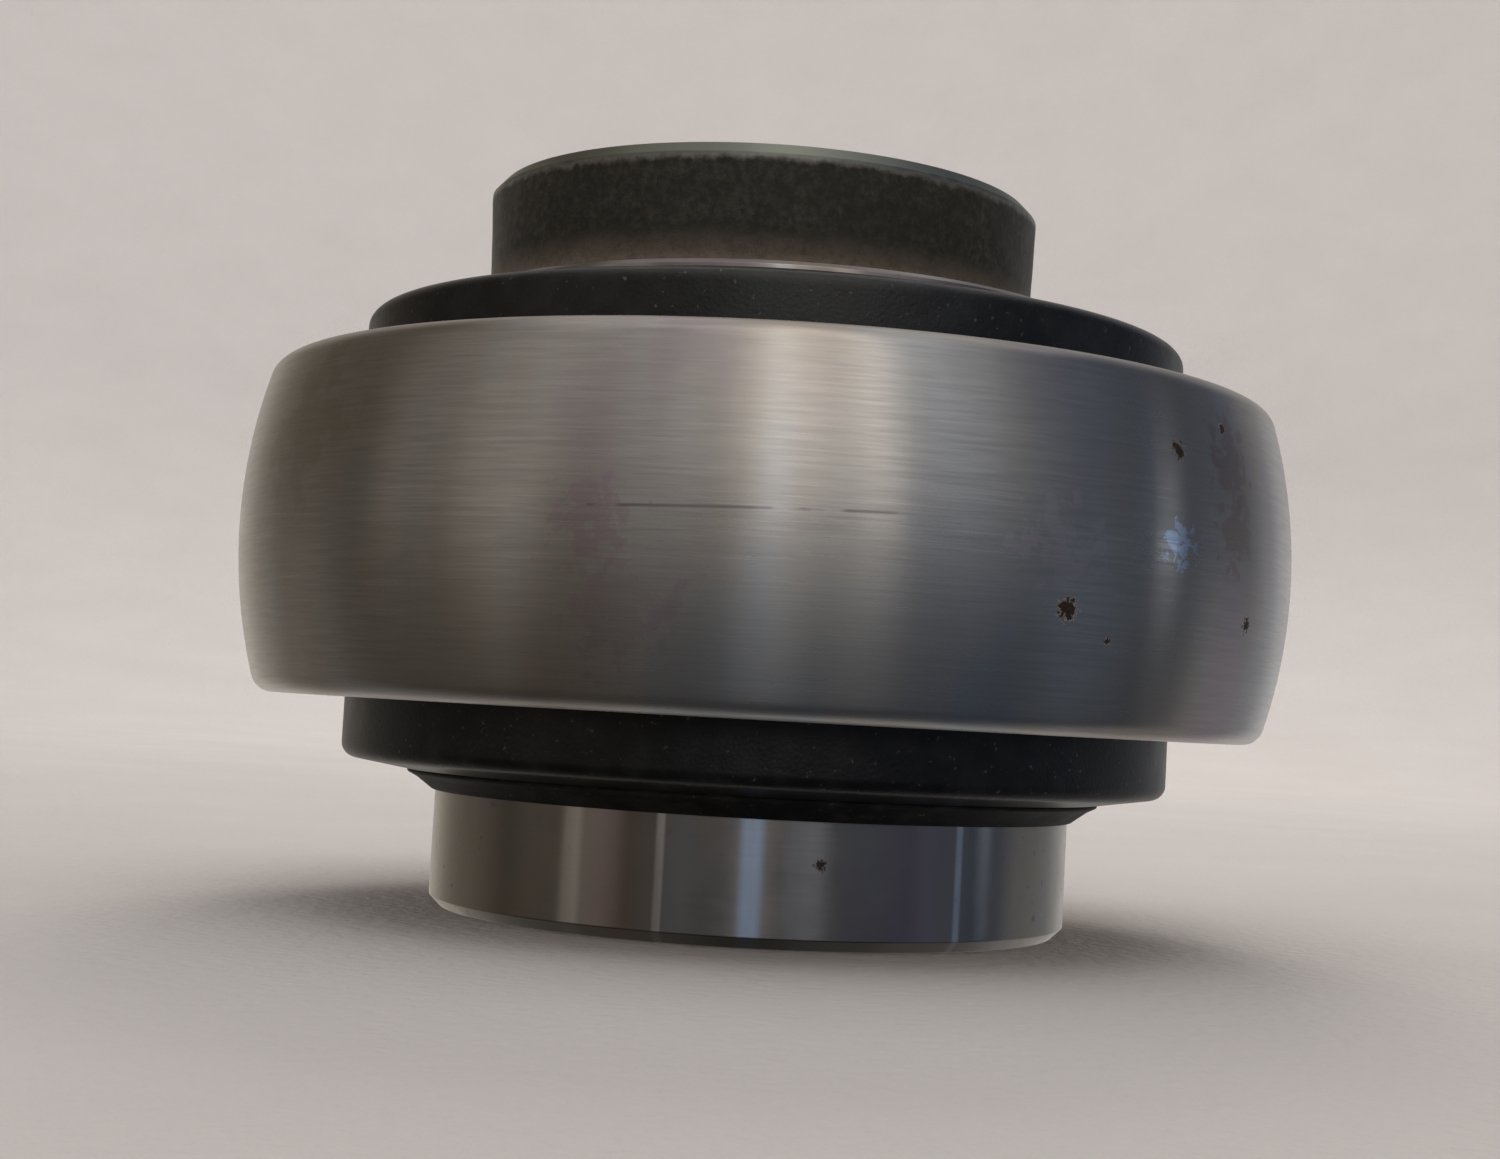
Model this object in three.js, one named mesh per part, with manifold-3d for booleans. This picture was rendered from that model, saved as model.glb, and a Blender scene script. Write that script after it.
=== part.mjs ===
// Cam follower roller: a wide-inner-ring insert ball bearing, sealed on both sides.
// Millimetres. The bearing axis is Z, and +Z points to the eccentric locking cam of the inner ring.
// The origin is the centre of the spherical outer surface, half way between the two end faces.

import * as THREE from "three";
import { mergeVertices } from "three/addons/utils/BufferGeometryUtils.js";
import Module from "manifold-3d";

// Outer ring
const OUTER_RADIUS = 20; // the rolling surface is part of a sphere of this radius
const OUTER_HALF_WIDTH = 6.15;
const OUTER_CORNER = 0.8; // rounding between the sphere and each side face
const OUTER_BORE_RADIUS = 16.4; // shoulders beside the ball groove
const SEAL_MOUTH_RADIUS = 16.2; // the bore between each seal groove and the side face
const SEAL_GROOVE_RADIUS = 17.1;
const SEAL_GROOVE_BOTTOM = 4.3;
const SEAL_GROOVE_TOP = 5.35;

// Inner ring
const INNER_HALF_WIDTH = 13.8;
const BORE_RADIUS = 7.9375; // 5/8 inch bore for the stud
const LAND_RADIUS = 12.15; // ground outside of the inner ring, which the seal lips ride on
const SHOULDER_HEIGHT = 9.36; // where the ground land ends and the cam begins
const EDGE_BREAK = 0.4;
const SHOULDER_BREAK = 0.15;

// Eccentric cam, for the locking collar
const CAM_RADIUS_BASE = 10.52;
const CAM_RADIUS_TOP = 10.68;
const CAM_OFFSET = -0.73; // the cam's centre along X
const CAM_CHAMFER = 0.4;
const CAM_FILLET = 0.45;
const CAM_ROOT = 1; // how far the cam's solid runs into the ring before they are joined
const BORE_OVERRUN = 1; // how far the bore's cutter runs past each end face

// Balls and grooves
const BALL_COUNT = 8;
const BALL_RADIUS = 3.3735;
const PITCH_RADIUS = 14.35;
const GROOVE_RADIUS = 3.51; // 52 % of the ball's diameter
const RACE_CLEARANCE = 0.08; // between a ball and each groove, room for the facets to turn

// Cage, pressed in two halves and riveted
const CAGE_INNER_RADIUS = 13.2;
const CAGE_OUTER_RADIUS = 15.5;
const CAGE_THICKNESS = 0.55;
const CAGE_SPLIT = 0.05; // each half starts this far from the middle plane
const POCKET_CLEARANCE = 0.2;
const POCKET_HEADROOM = 1; // room above a pocket's dome when it is trimmed to the ring's width
const RIVET_SHANK = 0.42;
const RIVET_HOLE = 0.52;
const RIVET_HOLE_LENGTH = 4;
const RIVET_HEAD = 0.85;
const RIVET_HEAD_HEIGHT = 0.4;
const RIVET_HEAD_TOP = 0.7; // the head's flat top, as a share of its radius
const RIVET_GAP = 0.04;

// Seals
const SHROUD_RADIUS = 15.75; // outside of the drawn steel cap
const SHROUD_SHOULDER = 7.85; // where its side wall turns into the corner
const SHROUD_CORNER = 0.55;
const SHROUD_THICKNESS = 0.45;
const SHROUD_CORNER_TURN = 84; // degrees the corner turns through, so the face still rises toward the opening
const SHROUD_ROOT = 0.2; // the slope between the rim and the side wall
const SHROUD_INSIDE_TOP = 7.9;
const SHROUD_INSIDE_CHAMFER = 0.15;
const SHROUD_EYE_RADIUS = 13.38; // the opening around the inner ring
const SHROUD_EYE_HEIGHT = 8.7;
const FLANGE_RADIUS = 16.95; // rim held in the outer ring's groove
const FLANGE_BOTTOM = 4.8;
const FLANGE_TOP = 5.2;
const BACKING_BOTTOM = 4.35;
const BACKING_TOP = 4.65;
const BACKING_EYE_RADIUS = 12.75;
const LIP_RADIUS = 12.24; // the lip's edge, a running clearance off the land
const LIP_SLEEVE_INNER = 12.6;
const LIP_SLEEVE_OUTER = 13.12;
const LIP_FOOT_RADIUS = 15.1;
const LIP_FOOT_SLOPE = 0.3;
const LIP_BEAD_RADIUS = 13.28;
const LIP_BEAD_RISE = 0.12; // the bead's rim above the shroud's opening
const LIP_BEAD_UNDERCUT = 0.35;
const LIP_BEAD_WIDTH = 0.4;
const LIP_BEAD_SLOPE = 0.3; // the share of the lip's rise that the bead takes up
const LIP_ROOF = 0.4; // how far the inside ends below the bead
const LIP_EDGE_WIDTH = 0.1;
const LIP_EDGE_BREAK = 0.06;
const LIP_EDGE_HEIGHT = 0.2;
const LIP_END_PLAIN = 9.5; // the lip stands out further on the plain end
const LIP_END_CAM = 9.06; // and stays below the shoulder on the cam end

// Facets
const RING_SEGMENTS = 48;
const SURFACE_STEPS = 6; // along the outer ring's spherical surface
const GROOVE_STEPS = 6;
const CORNER_STEPS = 3;
const BALL_SEGMENTS = 14;
const BALL_RINGS = 8;
const POCKET_SEGMENTS = 12;
const POCKET_RINGS = 8;
const RIVET_SEGMENTS = 8;
const MERGE_DISTANCE = 1e-4; // corners closer than this are one

const wasm = await Module();
wasm.setup();

// ---------- geometry helpers ----------

// Points of an arc in the (radius, height) plane, from one angle to the other in degrees.
function arc(radius, height, size, from, to, steps) {
  return Array.from({ length: steps + 1 }, (_, i) => {
    const angle = THREE.MathUtils.degToRad(from + ((to - from) * i) / steps);
    return [radius + size * Math.cos(angle), height + size * Math.sin(angle)];
  });
}

// A solid of revolution about Z. The outline runs anticlockwise in the (radius, height) plane.
function revolve(outline, segments) {
  const closed = outline[0][0] === 0 ? outline : [...outline, outline[0]];
  const points = closed.map(([radius, height]) => new THREE.Vector2(radius, height));
  return new THREE.LatheGeometry(points, segments).rotateX(Math.PI / 2);
}

// The same outline on the other side of the middle plane.
function mirrored(outline) {
  return outline.map(([radius, height]) => [radius, -height]).reverse();
}

function toSolid(geometry) {
  const plain = geometry.clone();
  plain.deleteAttribute("normal");
  plain.deleteAttribute("uv");
  const merged = mergeVertices(plain, MERGE_DISTANCE);
  const index = merged.index.array;
  const corners = [];
  for (let i = 0; i < index.length; i += 3) {
    const [a, b, c] = [index[i], index[i + 1], index[i + 2]];
    if (a !== b && b !== c && c !== a) corners.push(a, b, c);
  }
  const vertProperties = new Float32Array(merged.attributes.position.array);
  const triVerts = new Uint32Array(corners);
  return new wasm.Manifold(new wasm.Mesh({ numProp: 3, vertProperties, triVerts }));
}

function toGeometry(solid) {
  const mesh = solid.getMesh();
  const geometry = new THREE.BufferGeometry();
  geometry.setAttribute("position", new THREE.BufferAttribute(mesh.vertProperties, 3));
  geometry.setIndex(new THREE.BufferAttribute(mesh.triVerts, 1));
  geometry.computeVertexNormals();
  return geometry;
}

// Where ball or rivet number i sits on the pitch circle, with a turn of a part of one ball spacing.
function onPitchCircle(i, turn = 0) {
  const angle = (2 * Math.PI * (i + turn)) / BALL_COUNT;
  return new THREE.Vector3(PITCH_RADIUS * Math.cos(angle), PITCH_RADIUS * Math.sin(angle), 0);
}

// ---------- rings ----------

// The angle, from the middle plane, at which a ball groove's arc meets a ring's cylinder.
function grooveAngle(cylinderRadius, grooveCentre) {
  return THREE.MathUtils.radToDeg(Math.acos((cylinderRadius - grooveCentre) / GROOVE_RADIUS));
}

function outerRing() {
  const cornerHeight = OUTER_HALF_WIDTH - OUTER_CORNER;
  const cornerRadius = Math.sqrt((OUTER_RADIUS - OUTER_CORNER) ** 2 - cornerHeight ** 2);
  const meet = THREE.MathUtils.radToDeg(Math.atan2(cornerHeight, cornerRadius));
  const grooveCentre = PITCH_RADIUS + BALL_RADIUS + RACE_CLEARANCE - GROOVE_RADIUS;
  const grooveEdge = grooveAngle(OUTER_BORE_RADIUS, grooveCentre);
  const seat = [
    [SEAL_MOUTH_RADIUS + SHOULDER_BREAK, OUTER_HALF_WIDTH],
    [SEAL_MOUTH_RADIUS, OUTER_HALF_WIDTH - SHOULDER_BREAK],
    [SEAL_MOUTH_RADIUS, SEAL_GROOVE_TOP],
    [SEAL_GROOVE_RADIUS, SEAL_GROOVE_TOP],
    [SEAL_GROOVE_RADIUS, SEAL_GROOVE_BOTTOM],
    [OUTER_BORE_RADIUS, SEAL_GROOVE_BOTTOM],
  ];
  return revolve(
    [
      ...arc(cornerRadius, -cornerHeight, OUTER_CORNER, -90, -meet, CORNER_STEPS),
      ...arc(0, 0, OUTER_RADIUS, -meet, meet, SURFACE_STEPS).slice(1, -1),
      ...arc(cornerRadius, cornerHeight, OUTER_CORNER, meet, 90, CORNER_STEPS),
      ...seat,
      ...arc(grooveCentre, 0, GROOVE_RADIUS, grooveEdge, -grooveEdge, GROOVE_STEPS),
      ...mirrored(seat),
    ],
    RING_SEGMENTS,
  );
}

function innerRing() {
  const grooveCentre = PITCH_RADIUS - BALL_RADIUS - RACE_CLEARANCE + GROOVE_RADIUS;
  const grooveEdge = grooveAngle(LAND_RADIUS, grooveCentre);
  const body = revolve(
    [
      [0, -INNER_HALF_WIDTH],
      [LAND_RADIUS - EDGE_BREAK, -INNER_HALF_WIDTH],
      [LAND_RADIUS, EDGE_BREAK - INNER_HALF_WIDTH],
      ...arc(grooveCentre, 0, GROOVE_RADIUS, 360 - grooveEdge, grooveEdge, GROOVE_STEPS),
      [LAND_RADIUS, SHOULDER_HEIGHT - SHOULDER_BREAK],
      [LAND_RADIUS - SHOULDER_BREAK, SHOULDER_HEIGHT],
      [0, SHOULDER_HEIGHT],
    ],
    RING_SEGMENTS,
  );
  const root = SHOULDER_HEIGHT - CAM_ROOT;
  const filletRadius = CAM_RADIUS_BASE + CAM_FILLET;
  const cam = revolve(
    [
      [0, root],
      [CAM_RADIUS_BASE, root],
      [filletRadius, root],
      ...arc(filletRadius, SHOULDER_HEIGHT + CAM_FILLET, CAM_FILLET, 270, 180, CORNER_STEPS),
      [CAM_RADIUS_TOP, INNER_HALF_WIDTH - CAM_CHAMFER],
      [CAM_RADIUS_TOP - CAM_CHAMFER, INNER_HALF_WIDTH],
      [0, INNER_HALF_WIDTH],
    ],
    RING_SEGMENTS,
  ).translate(CAM_OFFSET, 0, 0);
  const mouth = BORE_RADIUS + EDGE_BREAK + BORE_OVERRUN;
  const end = INNER_HALF_WIDTH + BORE_OVERRUN;
  const bore = revolve(
    [
      [0, -end],
      [mouth, -end],
      [BORE_RADIUS, EDGE_BREAK - INNER_HALF_WIDTH],
      [BORE_RADIUS, INNER_HALF_WIDTH - EDGE_BREAK],
      [mouth, end],
      [0, end],
    ],
    RING_SEGMENTS,
  );
  return toGeometry(toSolid(body).add(toSolid(cam)).subtract(toSolid(bore)));
}

// ---------- balls, cage and rivets ----------

// A sphere with its poles along Z, so that it turns about Z inside its own outline.
function ball(radius, segments, rings) {
  return new THREE.SphereGeometry(radius, segments, rings).rotateX(Math.PI / 2);
}

// The upper half: a flat ring with a domed pocket over each ball and a rivet hole between pockets.
function cageHalf() {
  const pocket = BALL_RADIUS + POCKET_CLEARANCE;
  const dome = pocket + CAGE_THICKNESS;
  const pocketSphere = (radius) => toSolid(ball(radius, POCKET_SEGMENTS, POCKET_RINGS));
  const band = (low, high) =>
    toSolid(
      revolve(
        [
          [CAGE_INNER_RADIUS, low],
          [CAGE_OUTER_RADIUS, low],
          [CAGE_OUTER_RADIUS, high],
          [CAGE_INNER_RADIUS, high],
        ],
        RING_SEGMENTS,
      ),
    );
  const cutter = new THREE.CylinderGeometry(RIVET_HOLE, RIVET_HOLE, RIVET_HOLE_LENGTH, RIVET_SEGMENTS);
  const hole = toSolid(cutter.rotateX(Math.PI / 2));
  let half = band(CAGE_SPLIT, CAGE_SPLIT + CAGE_THICKNESS);
  const room = band(CAGE_SPLIT, dome + POCKET_HEADROOM);
  for (let i = 0; i < BALL_COUNT; i++) {
    half = half.add(pocketSphere(dome).translate(onPitchCircle(i).toArray()).intersect(room));
  }
  for (let i = 0; i < BALL_COUNT; i++) {
    half = half.subtract(pocketSphere(pocket).translate(onPitchCircle(i).toArray()));
    half = half.subtract(hole.translate(onPitchCircle(i, 0.5).toArray()));
  }
  return toGeometry(half);
}

function rivet() {
  const under = CAGE_SPLIT + CAGE_THICKNESS + RIVET_GAP;
  const head = [
    [RIVET_SHANK, under],
    [RIVET_HEAD, under],
    [RIVET_HEAD, under + RIVET_HEAD_HEIGHT / 2],
    [RIVET_HEAD * RIVET_HEAD_TOP, under + RIVET_HEAD_HEIGHT],
    [0, under + RIVET_HEAD_HEIGHT],
  ];
  return revolve([...mirrored(head), ...head], RIVET_SEGMENTS);
}

// ---------- seals, drawn for the cam end and mirrored for the plain end ----------

function shroudOutline() {
  const inside = SHROUD_RADIUS - SHROUD_THICKNESS;
  const corner = SHROUD_RADIUS - SHROUD_CORNER;
  const under = SHROUD_EYE_HEIGHT - SHROUD_THICKNESS;
  return [
    [inside, FLANGE_BOTTOM],
    [FLANGE_RADIUS, FLANGE_BOTTOM],
    [FLANGE_RADIUS, FLANGE_TOP],
    [SHROUD_RADIUS + SHROUD_ROOT, FLANGE_TOP],
    [SHROUD_RADIUS, FLANGE_TOP + SHROUD_ROOT],
    ...arc(corner, SHROUD_SHOULDER, SHROUD_CORNER, 0, SHROUD_CORNER_TURN, CORNER_STEPS),
    [SHROUD_EYE_RADIUS, SHROUD_EYE_HEIGHT],
    [SHROUD_EYE_RADIUS, under],
    [inside - SHROUD_INSIDE_CHAMFER, SHROUD_INSIDE_TOP],
    [inside, SHROUD_INSIDE_TOP - SHROUD_INSIDE_CHAMFER],
  ];
}

function backingOutline() {
  return [
    [BACKING_EYE_RADIUS, BACKING_BOTTOM],
    [FLANGE_RADIUS, BACKING_BOTTOM],
    [FLANGE_RADIUS, BACKING_TOP],
    [BACKING_EYE_RADIUS, BACKING_TOP],
  ];
}

function lipOutline(end) {
  const beadHeight = SHROUD_EYE_HEIGHT + LIP_BEAD_RISE;
  const rise = end - beadHeight;
  return [
    [LIP_SLEEVE_INNER, FLANGE_BOTTOM],
    [LIP_FOOT_RADIUS, FLANGE_BOTTOM],
    [LIP_FOOT_RADIUS, FLANGE_TOP],
    [LIP_SLEEVE_OUTER, FLANGE_TOP + LIP_FOOT_SLOPE],
    [LIP_SLEEVE_OUTER, beadHeight - LIP_BEAD_UNDERCUT],
    [LIP_BEAD_RADIUS, beadHeight],
    [LIP_BEAD_RADIUS - LIP_BEAD_WIDTH, beadHeight + rise * LIP_BEAD_SLOPE],
    [LIP_RADIUS + LIP_EDGE_WIDTH, end],
    [LIP_RADIUS, end - LIP_EDGE_BREAK],
    [LIP_RADIUS, end - LIP_EDGE_HEIGHT],
    [LIP_SLEEVE_INNER, beadHeight - LIP_ROOF],
  ];
}

// ---------- assembly ----------

const FINISHES = {
  groundSteel: { color: 0x8f8c8b, roughness: 0.32, metalness: 1 },
  ringSteel: { color: 0x6e6862, roughness: 0.45, metalness: 1 },
  ballSteel: { color: 0xc9ccd0, roughness: 0.08, metalness: 1 },
  cageSteel: { color: 0x9b9a96, roughness: 0.5, metalness: 1 },
  rivetSteel: { color: 0xb0aea8, roughness: 0.4, metalness: 1 },
  sealBlack: { color: 0x1c1d1f, roughness: 0.5, metalness: 0.2 },
  sealRubber: { color: 0x161615, roughness: 0.7, metalness: 0 },
  backingSteel: { color: 0x77787a, roughness: 0.5, metalness: 1 },
};

const follower = new THREE.Group();

function add(name, geometry, finish, parent = follower) {
  const mesh = new THREE.Mesh(geometry, new THREE.MeshStandardMaterial(FINISHES[finish]));
  mesh.name = name;
  parent.add(mesh);
  return mesh;
}

function addSeal(side, place, lipEnd) {
  add(`seal_shroud_${side}`, revolve(place(shroudOutline()), RING_SEGMENTS), "sealBlack");
  add(`seal_lip_${side}`, revolve(place(lipOutline(lipEnd)), RING_SEGMENTS), "sealRubber");
  add(`seal_backing_${side}`, revolve(place(backingOutline()), RING_SEGMENTS), "backingSteel");
}

add("outer_ring", outerRing(), "groundSteel");
add("inner_ring", innerRing(), "ringSteel");
addSeal("cam_end", (outline) => outline, LIP_END_CAM);
addSeal("plain_end", mirrored, LIP_END_PLAIN);

const upperHalf = cageHalf();
add("cage_half_cam_end", upperHalf, "cageSteel");
add("cage_half_plain_end", upperHalf.clone(), "cageSteel").rotation.x = Math.PI;

for (let i = 0; i < BALL_COUNT; i++) {
  const ballGeometry = ball(BALL_RADIUS, BALL_SEGMENTS, BALL_RINGS);
  add(`ball_${i + 1}`, ballGeometry, "ballSteel").position.copy(onPitchCircle(i));
  add(`cage_rivet_${i + 1}`, rivet(), "rivetSteel").position.copy(onPitchCircle(i, 0.5));
}

export default follower;
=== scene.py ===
"""Cam follower roller: fine meshes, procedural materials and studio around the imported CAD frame.

The bearing axis is Z and +Z points to the eccentric cam. Sizes are in millimetres,
and meshes are scaled to metres.
"""

import math

import bpy
from mathutils import Matrix, Vector, noise


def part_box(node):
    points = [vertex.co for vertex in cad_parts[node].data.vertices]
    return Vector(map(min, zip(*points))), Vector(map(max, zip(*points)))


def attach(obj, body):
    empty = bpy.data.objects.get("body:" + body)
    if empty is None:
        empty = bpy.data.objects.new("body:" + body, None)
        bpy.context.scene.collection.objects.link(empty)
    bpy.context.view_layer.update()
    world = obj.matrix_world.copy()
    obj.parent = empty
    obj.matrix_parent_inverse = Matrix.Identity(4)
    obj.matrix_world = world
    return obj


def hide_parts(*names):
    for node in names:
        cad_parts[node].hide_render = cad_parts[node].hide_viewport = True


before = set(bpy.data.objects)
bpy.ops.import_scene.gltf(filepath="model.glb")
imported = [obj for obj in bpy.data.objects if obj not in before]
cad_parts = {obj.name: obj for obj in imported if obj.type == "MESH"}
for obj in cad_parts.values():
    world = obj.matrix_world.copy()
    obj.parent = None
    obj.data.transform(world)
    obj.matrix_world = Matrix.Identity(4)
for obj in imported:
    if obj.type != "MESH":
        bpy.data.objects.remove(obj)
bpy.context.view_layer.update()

MM = 0.001


def cad_size(node, axis):
    """Highest coordinate of a CAD node along an axis, in millimetres."""
    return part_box(node)[1]["xyz".index(axis)] / MM


# ---------- driving sizes ----------

OUTER_RADIUS = cad_size("outer_ring", "x")
OUTER_HALF_WIDTH = cad_size("outer_ring", "z")
OUTER_CORNER = 0.8
OUTER_BORE_RADIUS = 16.4
SEAL_MOUTH_RADIUS = 16.2
SEAL_GROOVE_RADIUS = 17.1
SEAL_GROOVE_BOTTOM = 4.3
SEAL_GROOVE_TOP = 5.35

LAND_RADIUS = cad_size("inner_ring", "x")
INNER_HALF_WIDTH = cad_size("inner_ring", "z")
BORE_RADIUS = 7.9375
SHOULDER_HEIGHT = 9.36
EDGE_BREAK = 0.4
SHOULDER_BREAK = 0.15

CAM_RADIUS_BASE = 10.52
CAM_RADIUS_TOP = 10.68
CAM_OFFSET = -0.73
CAM_CHAMFER = 0.4
CAM_FILLET = 0.45

BALL_COUNT = 8
BALL_RADIUS = cad_size("ball_1", "z")
PITCH_RADIUS = 14.35
GROOVE_RADIUS = 3.51
RACE_CLEARANCE = 0.08

CAGE_INNER_RADIUS = 13.2
CAGE_OUTER_RADIUS = 15.5
CAGE_THICKNESS = 0.55
CAGE_SPLIT = 0.05
CAGE_EDGE = 0.06
POCKET_CLEARANCE = 0.2
RIVET_SHANK = 0.42
RIVET_HEAD = 0.85
RIVET_HEAD_HEIGHT = 0.4
RIVET_RIM = 0.14
RIVET_HOLE = 0.52
RIVET_GAP = 0.04

SHROUD_RADIUS = 15.75
SHROUD_SHOULDER = 7.85
SHROUD_CORNER = 0.55
SHROUD_THICKNESS = 0.45
SHROUD_CORNER_TURN = 84
SHROUD_ROOT = 0.2
SHROUD_INSIDE_HEIGHT = SHROUD_SHOULDER + 0.03
SHROUD_INSIDE_CORNER = 0.15
SHROUD_EYE_RADIUS = 13.38
SHROUD_EYE_HEIGHT = cad_size("seal_shroud_cam_end", "z")
FLANGE_RADIUS = cad_size("seal_shroud_cam_end", "x")
FLANGE_BOTTOM = 4.8
FLANGE_TOP = 5.2
BACKING_BOTTOM = 4.35
BACKING_TOP = cad_size("seal_backing_cam_end", "z")
BACKING_EYE_RADIUS = 12.75
LIP_RADIUS = 12.24
LIP_SLEEVE_INNER = 12.6
LIP_SLEEVE_OUTER = 13.12
LIP_FOOT_RADIUS = 15.1
LIP_BEAD_RADIUS = 13.28
LIP_END_CAM = cad_size("seal_lip_cam_end", "z")
LIP_END_PLAIN = -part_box("seal_lip_plain_end")[0].z / MM
LIP_BEAD_RISE = 0.12
LIP_BEAD_UNDERCUT = 0.35
LIP_BEAD_WIDTH = 0.4
LIP_BEAD_SLOPE = 0.3
LIP_FOOT_SLOPE = 0.3
LIP_ROOF = 0.4
LIP_EDGE_HEIGHT = 0.2
LIP_EDGE_EASE = 0.03
LIP_FOOT_EASE = 0.2

# Radius of an eased edge, from the crispest to the softest
CRISP = 0.04
FINE = 0.05
LAND_EDGE = 0.06
SHEET_EDGE = 0.08
EASED = 0.1
# How far beyond an eased edge its supporting points are
SUPPORT = 0.03

# Fineness of the meshes
SMOOTH_ANGLE = math.radians(38)
SAME_CORNER_DECIMALS = 4
RING_SEGMENTS = 288
GROOVE_STEPS = 20
SURFACE_STEPS = 30
CORNER_STEPS = 10
SHROUD_CORNER_STEPS = 12
FILLET_STEPS = 8
CAM_WALL_ROWS = 22
BALL_CELLS = 20
CAGE_ROWS = 10
POCKET_STEPS = 14
HOLE_STEPS = 8
HOLE_RINGS = 3
RIVET_SEGMENTS = 32
RIVET_CAP_STEPS = 8


# ---------- mesh helpers ----------

def arc(radius, height, size, start, end, steps):
    """Points of an arc in the (radius, height) plane, from one angle to the other in degrees."""
    angles = [math.radians(start + (end - start) * i / steps) for i in range(steps + 1)]
    return [(radius + size * math.cos(a), height + size * math.sin(a)) for a in angles]


def rounded(corners, steps=5):
    """A closed outline of (radius, height) points.

    A corner with a third number is eased by an arc of that size, with a supporting point on each side.
    """
    points = []
    for i, corner in enumerate(corners):
        here = Vector(corner[:2])
        if len(corner) == 2:
            points.append(tuple(here))
            continue
        before = (Vector(corners[i - 1][:2]) - here).normalized()
        after = (Vector(corners[(i + 1) % len(corners)][:2]) - here).normalized()
        half = before.angle(after) / 2
        reach = corner[2] / math.tan(half)
        centre = here + (before + after).normalized() * corner[2] / math.sin(half)
        first = here + before * reach - centre
        turn = first.angle_signed(here + after * reach - centre)
        points.append(tuple(here + before * (reach + SUPPORT)))
        for step in range(steps + 1):
            points.append(tuple(centre + Matrix.Rotation(-turn * step / steps, 2) @ first))
        points.append(tuple(here + after * (reach + SUPPORT)))
    return points


def mirrored(outline):
    """The same outline on the other side of the middle plane."""
    return [(point[0], -point[1], *point[2:]) for point in reversed(outline)]


def new_piece(name, vertices, faces):
    """A smooth-shaded mesh object in metres from vertices in millimetres."""
    mesh = bpy.data.meshes.new(name)
    mesh.from_pydata([tuple(v * MM for v in vertex) for vertex in vertices], [], faces)
    mesh.update()
    mesh.shade_smooth()
    mesh.set_sharp_from_angle(angle=SMOOTH_ANGLE)
    piece = bpy.data.objects.new(name, mesh)
    bpy.context.scene.collection.objects.link(piece)
    return piece


class Surface:
    """Collects sheets of quads, which share the corners that they have in common."""

    def __init__(self):
        self.corners = {}
        self.faces = []

    def corner(self, point):
        place = tuple(round(value, SAME_CORNER_DECIMALS) for value in point)
        return self.corners.setdefault(place, len(self.corners))

    def sheet(self, rows, turned_over=False):
        """Quads between rows of points. A quad that closes up on itself becomes a triangle or nothing."""
        for here, there in zip(rows, rows[1:]):
            for i in range(len(here) - 1):
                quad = [self.corner(point) for point in (here[i], there[i], there[i + 1], here[i + 1])]
                face = list(dict.fromkeys(quad))
                if len(face) > 2:
                    self.faces.append(face[::-1] if turned_over else face)

    def piece(self, name):
        return new_piece(name, list(self.corners), self.faces)


def around(angle, radius, height):
    """A point at an angle in radians from +X."""
    return (radius * math.cos(angle), radius * math.sin(angle), height)


def lathe(name, outline, segments, shape=around):
    """A closed outline turned about Z. shape(angle, radius, height) may move a point to (x, y, z)."""
    rows = []
    for i in range(segments + 1):
        angle = 2 * math.pi * (i % segments) / segments
        rows.append([shape(angle, *point) for point in [*outline, outline[0]]])
    surface = Surface()
    surface.sheet(rows)
    return surface.piece(name)


def finish_piece(piece, body, slot, material, *nodes):
    """Gives a piece its material and its body, and hides the CAD nodes that it stands for. The slot is not
    used.
    """
    piece.data.materials.append(material)
    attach(piece, body)
    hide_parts(*nodes)


# ---------- material helpers ----------

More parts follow.
